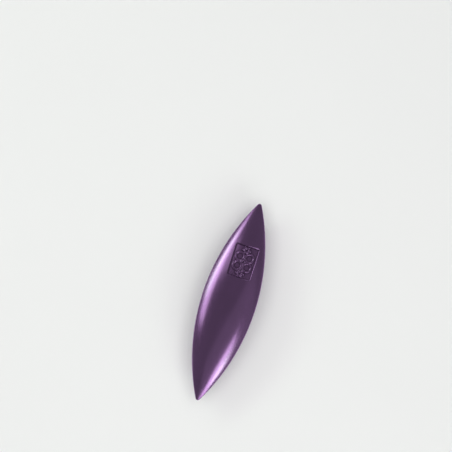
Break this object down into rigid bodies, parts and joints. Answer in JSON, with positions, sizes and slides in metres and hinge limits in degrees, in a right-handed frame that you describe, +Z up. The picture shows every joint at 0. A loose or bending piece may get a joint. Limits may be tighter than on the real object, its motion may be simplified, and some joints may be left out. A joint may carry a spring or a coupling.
{
  "type": "tatting shuttle",
  "caption": "Almond-shaped lace shuttle: crowned metal blades meet at blunt-pointed tips and are held apart by an oval winding post with a cross hole for the thread.",
  "frame": {"origin": "centre of the post, midway between both tips and both crowns", "axes": "+X along the shuttle to one tip, +Y across the blades, +Z up through the crown of the upper blade"},
  "size_m": [0.07, 0.0188, 0.0136],
  "materials": {
    "blade": "satin purple anodised",
    "post": "clear anodised",
    "pin": "purple anodised"
  },
  "bodies": {
    "root": {"upper_blade": "blade", "lower_blade": "blade", "centre_post": "post", "upper_pins": "pin", "lower_pins": "pin"}
  },
  "joints": []
}
